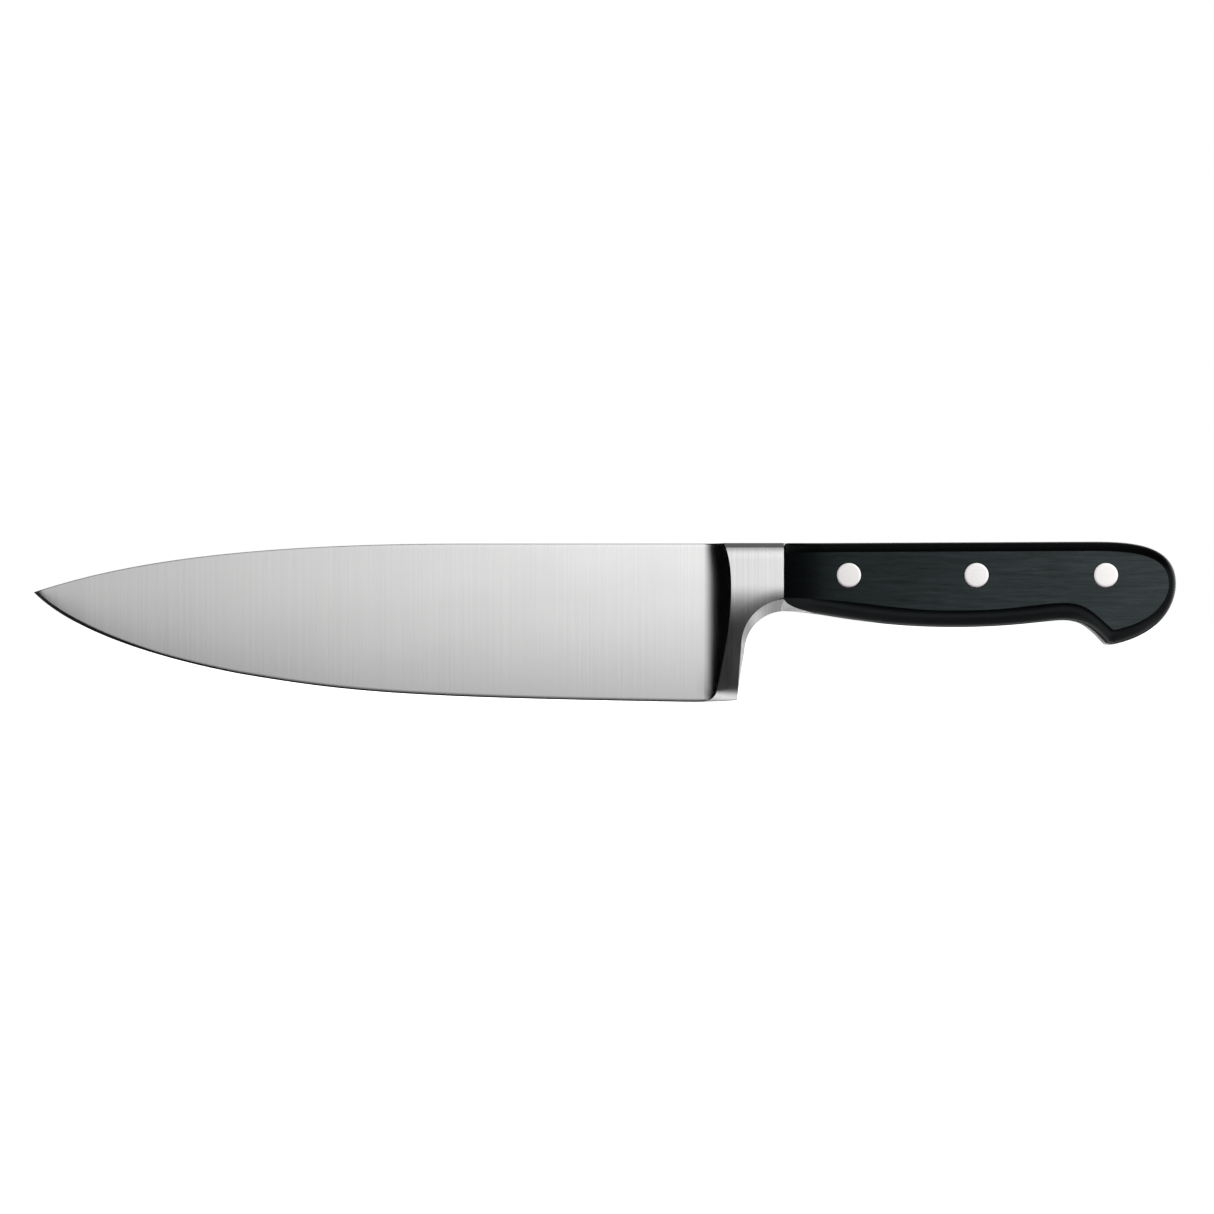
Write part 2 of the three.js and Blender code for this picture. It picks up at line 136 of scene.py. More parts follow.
# Handle
SIDE_WALL_HALF = 4.0
SLOPE_END = SCALE_FRONT + 12.0
SLOPE_CONTROL = SCALE_FRONT + 8.0
BEAK_INSET = 0.3
RELIEF_RUN_OUT = 12.0
CORNER_RADIUS = 1.3
# Where the tang begins inside the bolster, and how far above the choil and below the bolster's top.
TANG_ROOT_X = 212.0
TANG_ROOT_INSETS = (1.7, 0.7)
# How far the tail's root runs forwards into the bolster, and how far it sinks under its surface.
TAIL_ROOT = 0.8
TAIL_ROOT_SINK = 0.15

# Rivets
HEAD_HEIGHT = 1.4
HEAD_PROUD = 0.03
HEAD_DOME = 0.02
HEAD_EASE = 0.14
HEAD_CLEARANCE = 0.05
SHANK_RADIUS = 2.4
SHANK_LENGTH = 13.2
SHANK_CLEARANCE = 0.15
BORE_RADIUS = 1.6
BORE_DEPTH = 11.6
PIN_RADIUS = 1.5
PIN_LENGTH = 11.4
PIN_CHAMFER = 0.4

# Angles between faces, in degrees, above which their edge stays sharp
PLAIN_CREASE = 28
TANG_CREASE = 9
SCALE_CREASE = 12

# Mesh fineness
RIVET_SIDES = 96
HOLE_SIDES = 96
DOME_RINGS = 6
EASE_RINGS = 4
OUTLINE_STEPS = 40
TAIL_ROWS = 8
HALVINGS = 40
ROUNDING_ERROR = 1e-9
WELD = 0.002
CUTTER_OVERRUN = 1.0

# ---------------------------------------------------------------- curves


def bezier(points, t):
    """A point, or an array of points, on a Bezier curve of any degree."""
    t = np.asarray(t, float)[..., None]
    points = [np.asarray(p, float) for p in points]
    while len(points) > 1:
        points = [a * (1 - t) + b * t for a, b in zip(points, points[1:])]
    return points[0]


def bezier_at(points, x):
    """The parameter where a curve whose x steadily rises or falls reaches x."""
    x = np.asarray(x, float)
    rising = points[-1][0] > points[0][0]
    low, high = np.zeros_like(x), np.ones_like(x)
    for _ in range(HALVINGS):
        middle = (low + high) / 2
        before = (bezier(points, middle)[..., 0] < x) == rising
        low, high = np.where(before, middle, low), np.where(before, high, middle)
    return (low + high) / 2


def height_on(points, x):
    """A curve's second coordinate where its first is x."""
    return bezier(points, bezier_at(points, x))[..., 1]


def steps(start, stop, count):
    """Even values after start, up to and with stop."""
    return np.linspace(start, stop, count + 1)[1:]


def quarter(start, stop, count):
    """Values from start to stop that crowd towards stop, as an arc's heights do."""
    return start + (stop - start) * np.sin(steps(0, math.pi / 2, count))


SPINE_CURVE = ((0, TIP_Z), (21, 38.6), (52, SPINE_Z), (125, SPINE_Z))
BELLY_CURVE = ((0, TIP_Z), (11, 20.5), (36, 12.6), (60, 8.1))
EDGE_CURVE = ((60, 8.1), (91, 2.9), (106, 1.35), (190, 0))


def spine_z(x):
    """The spine's height: a curve up from the tip, then level."""
    level_from = SPINE_CURVE[-1][0]
    return np.where(x < level_from, height_on(SPINE_CURVE, np.minimum(x, level_from)), SPINE_Z)


def edge_z(x):
    """The cutting edge's height: the belly, the nearly level edge and a slight rise into the heel."""
    belly_end, level_from = BELLY_CURVE[-1][0], EDGE_CURVE[-1][0]
    belly = height_on(BELLY_CURVE, np.minimum(x, belly_end))
    edge = height_on(EDGE_CURVE, np.clip(x, belly_end, level_from))
    heel = HEEL_RISE * ((x - level_from) / (HEEL_X - level_from)) ** 2
    return np.where(x < belly_end, belly, np.where(x < level_from, edge, heel))


# ---------------------------------------------------------------- mesh helpers


def to_frame(points):
    """Side-view millimetres to the frame's metres."""
    return np.asarray(points, float) * MM + np.array((TIP_X, 0, 0))


def grid_faces(columns, rows, closed=False):
    """Quads between neighbouring columns of points; closed joins each column's ends."""
    faces = []
    for c in range(columns - 1):
        for r in range(rows if closed else rows - 1):
            here, above = c * rows + r, c * rows + (r + 1) % rows
            faces.append((here, above, above + rows, here + rows))
    return faces


def clean(mesh):
    """Welds points that coincide, drops what that flattens, and faces all normals outwards."""
    weld = WELD * MM
    bm = bmesh.new()
    bm.from_mesh(mesh)
    bmesh.ops.remove_doubles(bm, verts=bm.verts, dist=weld)
    bmesh.ops.dissolve_degenerate(bm, dist=weld / 4, edges=bm.edges)
    bmesh.ops.recalc_face_normals(bm, faces=bm.faces)
    bm.to_mesh(mesh)
    bm.free()


def make_piece(name, points, faces):
    """A smooth-shaded mesh object from millimetre points."""
    mesh = bpy.data.meshes.new(name)
    mesh.from_pydata([tuple(p) for p in to_frame(points)], [], faces)
    clean(mesh)
    piece = bpy.data.objects.new(name, mesh)
    bpy.context.scene.collection.objects.link(piece)
    shade(piece, PLAIN_CREASE)
    return piece


def mirrored_pair(points, faces):
    """A half shape on the +y side together with its mirror image."""
    flipped = [tuple(i + len(points) for i in reversed(face)) for face in faces]
    return np.concatenate([points, points * (1, -1, 1)]), faces + flipped


def shade(piece, crease):
    """Smooth shading with sharp edges where faces meet above crease degrees."""
    piece.data.shade_smooth()
    piece.data.set_sharp_from_angle(angle=math.radians(crease))


def drill(piece, radius, from_y, to_y):
    """Cuts a hole of one radius at each rivet, between two distances across the thickness."""
    turn = np.linspace(0, 2 * math.pi, HOLE_SIDES, endpoint=False)
    for x, z, _ in RIVETS.values():
        points = [
            (x + radius * math.cos(a), y, z + radius * math.sin(a))
            for y in (from_y, to_y)
            for a in turn
        ]
        ends = [tuple(range(HOLE_SIDES)), tuple(range(HOLE_SIDES, 2 * HOLE_SIDES))]
        cutter = make_piece("cutter", points, grid_faces(2, HOLE_SIDES, closed=True) + ends)
        cut = piece.modifiers.new("hole", "BOOLEAN")
        cut.operation, cut.solver, cut.object = "DIFFERENCE", "EXACT", cutter
        shapes = bpy.context.evaluated_depsgraph_get()
        piece.data = bpy.data.meshes.new_from_object(piece.evaluated_get(shapes))
        piece.modifiers.clear()
        bpy.data.objects.remove(cutter)


# ---------------------------------------------------------------- blade and bolster

# Half the bolster's thickness up its side: [height, half].
FACET_SIDE = ((0, 0.05), (2.2, 1.02), (FACET_TOP, FACET_HALF))
BOLSTER_SIDE = ((FACET_TOP, FACET_HALF), (15, 3.9), (24, BOLSTER_HALF), (BOLSTER_SHOULDER, BOLSTER_HALF))
# The crest between the fillet and the bolster, from the edge to the top: [height, distance from the tip].
CREST_FOOT = ((0, 194.0), (0.6, 196.4), (2.4, 197.4), (4.2, 197.8))
CREST_SIDE = ((4.2, 197.8), (16, 200.5), (24, 201.75), (33, 201.75))
CREST_TOP = ((33, 201.75), (38, 201.75), (42, 201.3), (BOLSTER_TOP, 199.7))
BOLSTER_REAR = SCALE_FRONT - JOINT_GAP
CHOIL_TOP = CHOIL_ARC[1] + CHOIL_ARC[2]
RELIEF_TOP = RELIEF_ARC[1] + RELIEF_ARC[2]
CHAMFER_FOOT = BOLSTER_TOP - CHAMFER_HEIGHT

# Mesh columns along the knife, and rows up it. The blade's columns crowd towards the tip, and the row
# where the sharpened bevel ends is the one at LEVEL_AT_SHOULDER on the bolster.
BLADE_COLUMNS = 110
TIP_CROWDING = 1.5
FILLET_COLUMNS = 34
SIDE_COLUMNS = 12
RELIEF_COLUMNS = 4
REAR_COLUMNS = 5
LEVEL_AT_SHOULDER = 0.7
FACET_ROWS = 5
HEEL_ROWS = 10
CHOIL_ROWS = 22
RELIEF_ROWS = 8
UPPER_ROWS = 30
TOP_ROWS = 5


def bolster_half(z):
    """Half the bolster's thickness at a height below its top chamfer."""
    facet = height_on(FACET_SIDE, np.clip(z, 0, FACET_TOP))
    side = height_on(BOLSTER_SIDE, np.clip(z, FACET_TOP, BOLSTER_SHOULDER))
    near_top = np.clip(1 - (CHAMFER_FOOT - z) / TOP_ROLL_HEIGHT, 0, 1)
    return np.where(z < FACET_TOP, facet, side - TOP_ROLL_DEPTH * near_top**2)


def crest_x(z):
    """How far from the tip the crest lies at a height."""
    foot_end, side_end = CREST_FOOT[-1][0], CREST_SIDE[-1][0]
    foot = height_on(CREST_FOOT, np.clip(z, 0, foot_end))
    side = height_on(CREST_SIDE, np.clip(z, foot_end, side_end))
    top = height_on(CREST_TOP, np.clip(z, side_end, BOLSTER_TOP))
    return np.where(z < foot_end, foot, np.where(z < side_end, side, top))


def hollow_x(z, arc, lean):
    """The x of a line that leans back as it rises and runs into an arc, at a height."""
    arc_x, arc_z, radius = arc
    length = math.hypot(1, lean)
    touch_x, touch_z = arc_x - radius / length, arc_z + radius * lean / length
    rise = np.clip(z - arc_z, 0, radius)
    on_arc = arc_x - np.sqrt(radius**2 - rise**2)
    return np.where(z < touch_z, touch_x - lean * (touch_z - z), on_arc)


def relief_share(x, z, relief_x, rear_x):
    """How far a point of the bolster lies across the relief, from its inner edge to the choil."""
    relief_in = RELIEF_ARC[2] - np.hypot(x - RELIEF_ARC[0], z - RELIEF_ARC[1])
    choil_out = np.hypot(x - CHOIL_ARC[0], z - CHOIL_ARC[1]) - CHOIL_ARC[2]
    round_share = np.clip(relief_in, 0, None) / np.clip(relief_in + choil_out, RELIEF_LEAST_SPAN, None)
    straight_share = (x - relief_x) / (rear_x - relief_x)
    return np.clip(np.where(z > CHOIL_ARC[1], round_share, straight_share), 0, 1)


def relief_roll(x, z):
    """How far the bolster's side has rolled inwards where it comes down to the relief's arc."""
    arc_x, arc_z, radius = RELIEF_ARC
    nearness = np.clip(1 - (np.hypot(x - arc_x, z - arc_z) - radius) / RELIEF_ROLL_WIDTH, 0, 1)
    return RELIEF_ROLL_DEPTH * nearness**2 * np.clip((z - arc_z) / radius, 0, 1)


def side_levels():
    """Heights of the mesh rows up the side, crowded where the choil's arcs turn level."""
    edge = (0, LEVEL_AT_SHOULDER / 2, LEVEL_AT_SHOULDER)
    facet = steps(LEVEL_AT_SHOULDER, FACET_TOP, FACET_ROWS)
    heel = steps(FACET_TOP, CHOIL_ARC[1], HEEL_ROWS)
    choil = quarter(CHOIL_ARC[1], CHOIL_TOP, CHOIL_ROWS)
    relief = quarter(CHOIL_TOP, RELIEF_TOP, RELIEF_ROWS)
    upper = steps(RELIEF_TOP, CHAMFER_FOOT, UPPER_ROWS)
    return np.concatenate([edge, facet, heel, choil, relief, upper])


LEVELS = side_levels()


def heel_shift(x, z):
    """How far the bolster's rows are lifted, to follow the edge's rise and to slant the facet's top."""
    rise = np.clip(1 - z / FACET_TOP, 0, 1) * edge_z(x)
    slant = np.interp(z, (0, FACET_TOP, 3 * FACET_TOP), (0, 1, 0)) * FACET_SLANT * (x - HEEL_X)
    return rise + slant * np.clip((x - FILLET_START) / FACET_SLANT_RUN_IN, 0, 1)


def blade_profile(x):
    """One upright section of the blade at each x: y and z from the cutting edge to the spine's middle."""
    x = np.atleast_1d(np.asarray(x, float))[:, None]
    low, high = edge_z(x), spine_z(x)
    room = np.minimum(1, (high - low) / TIP_THINS_OVER)
    tall = np.minimum(np.interp(x, *zip(*SHARPENED_HEIGHTS)), (high - low) / 2)
    shoulder, shoulder_half = low + tall, SHARPENED_SLOPE * tall
    spine_half = SPINE_HALF_AT_TIP + (SPINE_HALF_AT_HEEL - SPINE_HALF_AT_TIP) * x / FILLET_START
    spine_half = np.minimum(spine_half, shoulder_half + FACE_SLOPE * (high - low))
    ease = SPINE_EASE * room
    share = np.clip((LEVELS - LEVEL_AT_SHOULDER) / (CHAMFER_FOOT - LEVEL_AT_SHOULDER), 0, 1)
    bevel = np.clip(LEVELS / LEVEL_AT_SHOULDER, 0, 1)
    reach = (CHAMFER_FOOT - LEVEL_AT_SHOULDER) / (SPINE_Z - LEVEL_AT_SHOULDER)
    rise = share * reach
    bow = 4 * rise * (1 - rise)
    crown = FACE_CROWN * room * (high - low) / SPINE_Z * bow
    y = bevel * (shoulder_half + (spine_half - shoulder_half) * rise + crown)
    z = low + (shoulder - low) * bevel + (high - shoulder) * rise
    around = np.linspace(0, math.pi / 2, TOP_ROWS - 1)
    top_y = np.concatenate([np.maximum(spine_half - ease * (1 - np.cos(around)), 0), 0 * x], axis=1)
    top_z = np.concatenate([high - ease * (1 - np.sin(around)), high], axis=1)
    return np.concatenate([y, top_y], axis=1), np.concatenate([z, top_z], axis=1)


def bolster_profile():
    """The bolster's y and z at each row, with the same rows as the blade's sections."""
    up = np.linspace(0, 1, TOP_ROWS - 1)
    y = np.concatenate([bolster_half(LEVELS), bolster_half(CHAMFER_FOOT) - CHAMFER_WIDTH * up, (0,)])
    z = np.concatenate([LEVELS, CHAMFER_FOOT + CHAMFER_HEIGHT * up, (BOLSTER_TOP,)])
    y[0] = 0
    return y, z


def build_blade_and_bolster():
    """Columns of points from the tip, through the fillet and along the bolster to its rear. Faces
    behind the crest take the second material."""
    stations = FILLET_START * np.linspace(0, 1, BLADE_COLUMNS) ** TIP_CROWDING
    y, z = blade_profile(stations)
    columns = [np.stack([np.full_like(z[i], x), y[i], z[i]], axis=1) for i, x in enumerate(stations)]

    root, root_z = y[-1], z[-1]
    half, level = bolster_profile()
    width = crest_x(level) - FILLET_START
    for step in range(1, FILLET_COLUMNS + 1):
        along = step / FILLET_COLUMNS
        across, outwards = bezier(((0, 0), *FILLET_PULLS, (1, 1)), along)
        x = FILLET_START + width * across
        out = root + (half - root) * outwards
        z = root_z + (level - root_z) * along + heel_shift(x, level)
        columns.append(np.stack([x, out, z], axis=1))

    crest = columns[-1]
    rear_x = np.minimum(hollow_x(level, CHOIL_ARC, CHOIL_LEAN), BOLSTER_REAR)
    relief_x = np.minimum(hollow_x(level, RELIEF_ARC, RELIEF_LEAN), rear_x - RELIEF_LEAST_WIDTH)
    relief_depth = 1 - SIDE_WALL_HALF / BOLSTER_HALF
    taper = crest[:, 1] / BOLSTER_HALF
    for step in range(1, SIDE_COLUMNS + 1):
        x = crest[:, 0] + (relief_x - crest[:, 0]) * step / SIDE_COLUMNS
        y = crest[:, 1] - relief_roll(x, level) * taper
        columns.append(np.stack([x, y, level + heel_shift(x, level)], axis=1))
    for step in range(1, RELIEF_COLUMNS + 1):
        x = relief_x + (rear_x - relief_x) * step / RELIEF_COLUMNS
        y = crest[:, 1] * (1 - relief_depth * relief_share(x, level, relief_x, rear_x))
        y = y - relief_roll(relief_x, level) * taper
        columns.append(np.stack([x, y, level + heel_shift(x, level)], axis=1))
    rear = columns[-1]
    for step in range(1, REAR_COLUMNS + 1):
        columns.append(rear * (1, 1 - step / REAR_COLUMNS, 1))

    rows = len(columns[0])
    points, faces = mirrored_pair(np.concatenate(columns), grid_faces(len(columns), rows))
    piece = make_piece("blade_and_bolster", points, faces)
    centres = np.array([face.center for face in piece.data.polygons]) / MM
    behind_crest = centres[:, 0] - TIP_X / MM > crest_x(centres[:, 2])
    piece.data.polygons.foreach_set("material_index", behind_crest.astype(int))
    return piece


# ---------------------------------------------------------------- handle outlines

FACE_TOP_LINE = ((SCALE_FRONT, 43.2), (304, 43.6))
FACE_BUTT = ((304, 43.6), (317, 43.6), (327.5, 43.0), (327.5, 34))
RIM_TOP_LINE = ((SCALE_FRONT, BOLSTER_TOP), (304, HANDLE_TOP))
RIM_BUTT = ((304, HANDLE_TOP), (315, HANDLE_TOP), (LENGTH, 46.8), (LENGTH, 34.2))

# Below the butt, in order towards the bolster: the edge of the scale's flat face.
FACE_LOWER = (
    ((327.5, 34), (327.5, 33), (327.1, 24.3), (312.4, 21.05)),
    ((312.4, 21.05), (311.7, 20.8), (311.1, 21.3)),
    ((311.1, 21.3), (305.8, 25.8), (304, 28.7), (297.7, 28.7)),
    ((297.7, 28.7), (289.5, 28.7), (284.5, 26.5), (265, 26.5)),
    ((265, 26.5), (248, 26.5), (236, 30.1), (SCALE_FRONT, 30.1)),
)


def rim_lower(inset):
    """The handle's outer edge, stroke for stroke beside FACE_LOWER, with the beak drawn in by inset."""
    i = inset
    return (
        ((LENGTH, 34.2), (LENGTH, 31.5), (328.9, 19.9 + i), (311.8 + i, 16.5 + i)),
        ((311.8 + i, 16.5 + i), (310.3 + i, 16.4 + i), (309.6 + i, 17.1 + i)),
        ((309.6 + i, 17.1 + i), (304.8 + i, 22.4 + i), (302.5, 23.7), (297.5, 23.7)),
        ((297.5, 23.7), (293, 23.7), (284, 21.7), (266, 21.7)),
        ((266, 21.7), (240, 21.7), (229, 26.1), (SCALE_FRONT, CHOIL_TOP)),
    )


# Where the bolster's tail meets the scales' lower front corner.
TAIL_LINE = ((SCALE_FRONT, 29.8), (218.6, 26.2), (232, 24.6), (245, 22.9))

# The handle's rounded edge turns this far from the side wall before the flat face begins.
ROUND_END = math.radians(72)

# Mesh rows round the edge and across the face, and strips along the handle
ROUND_ROWS = 14
FACE_ROWS = 8
CORNER_STRIPS = 6
SLOPE_STRIPS = 8
GRIP_STRIPS = 55
BEAK_STRIPS = 5
BUTT_STRIPS = 26


def face_stations():
    """Distances from the tip for the face's strips, the same above and below."""
    beak_x, point_x = FACE_LOWER[2][0][0], FACE_LOWER[1][0][0]
    turn = np.linspace(0, math.pi / 2, CORNER_STRIPS + 1)
    corner = SCALE_FRONT + CORNER_RADIUS * (1 - np.cos(turn))
    slope = steps(corner[-1], SLOPE_END, SLOPE_STRIPS)
    grip = steps(SLOPE_END, beak_x, GRIP_STRIPS)
    beak = steps(beak_x, point_x, BEAK_STRIPS)
    butt = quarter(point_x, FACE_BUTT[-1][0], BUTT_STRIPS)
    return np.concatenate([corner, slope, grip, beak, butt])


def upper_pair(x):
    """The points above a station on the scale's rim and on its face edge."""
    level_to = FACE_TOP_LINE[-1][0]
    on_line = x <= level_to
    rim_curve, face_curve = (RIM_TOP_LINE, FACE_TOP_LINE) if on_line else (RIM_BUTT, FACE_BUTT)
    t = bezier_at(face_curve, x)
    rim, face = bezier(rim_curve, t), bezier(face_curve, t)
    short = max(0, CORNER_RADIUS - (x - SCALE_FRONT))
    rim[1] -= CORNER_RADIUS - math.sqrt(CORNER_RADIUS**2 - short**2)
    return rim, face


def lower_pair(x):
    """The points below a station on the scale's rim and on its face edge."""
    for rim_curve, face_curve in zip(rim_lower(BEAK_INSET), FACE_LOWER):
        if x >= face_curve[-1][0] - ROUNDING_ERROR:
            t = bezier_at(face_curve, x)
            return bezier(rim_curve, t), bezier(face_curve, t)
    return np.array(rim_lower(0)[-1][-1], float), np.array(FACE_LOWER[-1][-1], float)


def scale_half(x):
    """Half the handle's thickness over the flat faces, sloping down to the bolster at the front."""
    slope = ((SCALE_FRONT, BOLSTER_HALF), (SLOPE_CONTROL, SCALE_HALF), (SLOPE_END, SCALE_HALF))
    return np.where(x < SLOPE_END, height_on(slope, np.clip(x, SCALE_FRONT, SLOPE_END)), SCALE_HALF)


def round_over(rim, face, angle):
    """The point of the handle's rounded edge at an angle from the side wall."""
    share = (1 - np.cos(angle)) / (1 - math.cos(ROUND_END))
    x, z = rim + (face - rim) * share
    flat = np.clip(1 - (x - SCALE_FRONT) / RELIEF_RUN_OUT, 0, 1) ** 2
    bulge = share * flat + np.sin(angle) / math.sin(ROUND_END) * (1 - flat)
    y = SIDE_WALL_HALF + (scale_half(x) - SIDE_WALL_HALF) * bulge
    return float(x), float(y), float(z)


def tail_angle(rim, face, drop):
    """The angle round the edge where the tail line, lowered by drop, crosses from the rim."""
    end_x = TAIL_LINE[-1][0]
    low, high = 0.0, ROUND_END
    if rim[0] > end_x:
        return 0.0
    for _ in range(HALVINGS):
        middle = (low + high) / 2
        x, _, z = round_over(rim, face, middle)
        line = float(height_on(TAIL_LINE, min(max(x, SCALE_FRONT), end_x))) - drop
        low, high = (middle, high) if z < line else (low, middle)
    return low


# ---------------------------------------------------------------- scales, tail and tang


def scale_column(rim, face, from_angle):
    """From the tang up the side wall and round the edge to the face."""
    angles = from_angle + (ROUND_END - from_angle) * np.linspace(0, 1, ROUND_ROWS + 1)
    edge = [round_over(rim, face, a) for a in angles]
    x, _, z = edge[0]
    return [(x, TANG_HALF, z), *edge]


def build_scale(name, side):
    """A scale from one loft round its edge and strips across its face and its back."""
    stations = face_stations()
    upper = [scale_column(*upper_pair(x), 0.0) for x in stations]
    lower = []
    for x in stations:
        rim, face = lower_pair(x)
        lower.append(scale_column(rim, face, tail_angle(rim, face, 0)))
    columns = upper + lower[::-1]
    rows = len(columns[0])
    points = [p for column in columns for p in column]
    faces = grid_faces(len(columns), rows)

    first_strips = []
    for row in (-1, 0):
        start = len(points)
        for above, below in zip(upper, lower):
            a, b = np.array(above[row]), np.array(below[row])
            points += [tuple(a + (b - a) * t) for t in np.linspace(0, 1, FACE_ROWS + 1)]
        faces += [tuple(start + i for i in face) for face in grid_faces(len(upper), FACE_ROWS + 1)]
        first_strips.append(list(range(start, start + FACE_ROWS + 1)))
    front, back = first_strips
    top_edge = list(range(rows))
    low_edge = list(range((len(columns) - 1) * rows, len(columns) * rows))
    faces.append(tuple(top_edge + front[1:-1] + low_edge[::-1] + back[1:-1][::-1]))

    points = np.array(points) * (1, side, 1)
    piece = make_piece(name, points, faces)
    seat = SCALE_HALF + HEAD_PROUD - HEAD_HEIGHT
    outside, inside = SCALE_HALF + CUTTER_OVERRUN, TANG_HALF - CUTTER_OVERRUN
    drill(piece, RIVETS["front"][2] + HEAD_CLEARANCE, side * outside, side * seat)
    drill(piece, SHANK_RADIUS + SHANK_CLEARANCE, side * (seat + CUTTER_OVERRUN), side * inside)
    shade(piece, SCALE_CREASE)
    return piece


def build_tail():
    """The bolster's metal that runs on under the scales and thins away along the handle's edge."""
    columns = []
    stations = face_stations()
    for x in stations[stations < TAIL_LINE[-1][0]]:
        rim, face = lower_pair(x)
        last = tail_angle(rim, face, JOINT_GAP)
        edge = [round_over(rim, face, last * t) for t in np.linspace(0, 1, TAIL_ROWS + 1)]
        inside = (edge[-1][0], 0, edge[-1][2])
        columns.append([(rim[0], 0, rim[1]), (rim[0], SIDE_WALL_HALF / 2, rim[1]), *edge, inside])
    joint = [(x - JOINT_GAP, y, z) for x, y, z in columns[0]]
    root = [(x - TAIL_ROOT, max(0, y - TAIL_ROOT_SINK), z + TAIL_ROOT_SINK) for x, y, z in columns[0]]
    middle = [(x, 0, z) for x, _, z in root]
    end = [(x, 0, z) for x, _, z in columns[-1]]
    columns = np.array([middle, root, joint, *columns, end], float)
    points, faces = mirrored_pair(columns.reshape(-1, 3), grid_faces(len(columns), columns.shape[1]))
    return make_piece("bolster_tail", points, faces)


def build_tang():
    """The full tang, as wide as the handle and showing as a metal line between the scales."""
    from_below, from_above = TANG_ROOT_INSETS
    root = [(TANG_ROOT_X, CHOIL_TOP + from_below), (TANG_ROOT_X, BOLSTER_TOP - from_above)]
    outline = [np.array(p, float) for p in root]
    for curve in (RIM_TOP_LINE, RIM_BUTT, *rim_lower(0)):
        outline += list(bezier(curve, np.linspace(0, 1, OUTLINE_STEPS, endpoint=False)))
    outline.append(np.array(rim_lower(0)[-1][-1], float))
    count = len(outline)
    points = [(x, y, z) for y in (-TANG_HALF, TANG_HALF) for x, z in outline]
    faces = grid_faces(2, count, closed=True) + [tuple(range(count)), tuple(range(count, 2 * count))]
    piece = make_piece("tang", points, faces)
    drill(piece, SHANK_RADIUS + SHANK_CLEARANCE, -2 * TANG_HALF, 2 * TANG_HALF)
    shade(piece, TANG_CREASE)
    return piece


# ---------------------------------------------------------------- rivets


def head_profile(radius):
    """A rivet head from its middle to its underside: [radius, height] from the head's top down."""
    inner = radius - HEAD_EASE
    dome = [(inner * t, HEAD_DOME * (1 - t * t)) for t in np.linspace(0, 1, DOME_RINGS + 1)]
    ease = [
        (inner + HEAD_EASE * math.sin(a), -HEAD_EASE * (1 - math.cos(a)))
        for a in steps(0, math.pi / 2, EASE_RINGS)
    ]
    return dome + ease + [(radius, -HEAD_HEIGHT)]


def lathe(name, profile, x, z, side):
    """A profile of [radius, height] turned about the rivet's axis, its head towards side."""
    top = SCALE_HALF + HEAD_PROUD
    turn = np.linspace(0, 2 * math.pi, RIVET_SIDES, endpoint=False)
    points = [
        (x + radius * math.cos(a), side * (top + height), z + radius * math.sin(a))
        for radius, height in profile
        for a in turn
    ]
    faces = grid_faces(len(profile), RIVET_SIDES, closed=True)
    return make_piece(name, points, faces)


def build_sleeve(place):
    """The tubular half of a rivet, whose head shows on the left (-y) side."""
    x, z, radius = RIVETS[place]
    mouth = -HEAD_HEIGHT - SHANK_LENGTH
    shank = [(SHANK_RADIUS, -HEAD_HEIGHT), (SHANK_RADIUS, mouth), (BORE_RADIUS, mouth)]
    bore = [(BORE_RADIUS, mouth + BORE_DEPTH), (0, mouth + BORE_DEPTH)]
    return lathe(f"{place}_rivet_sleeve", head_profile(radius) + shank + bore, x, z, -1)


def build_pin(place):
    """The solid half of a rivet, whose head shows on the right (+y) side."""
    x, z, radius = RIVETS[place]
    tip = -HEAD_HEIGHT - PIN_LENGTH
    end = [(PIN_RADIUS, tip + PIN_CHAMFER), (PIN_RADIUS - PIN_CHAMFER, tip), (0, tip)]
    shank = [(PIN_RADIUS, -HEAD_HEIGHT), *end]
    return lathe(f"{place}_rivet_pin", head_profile(radius) + shank, x, z, 1)


# ---------------------------------------------------------------- material helpers


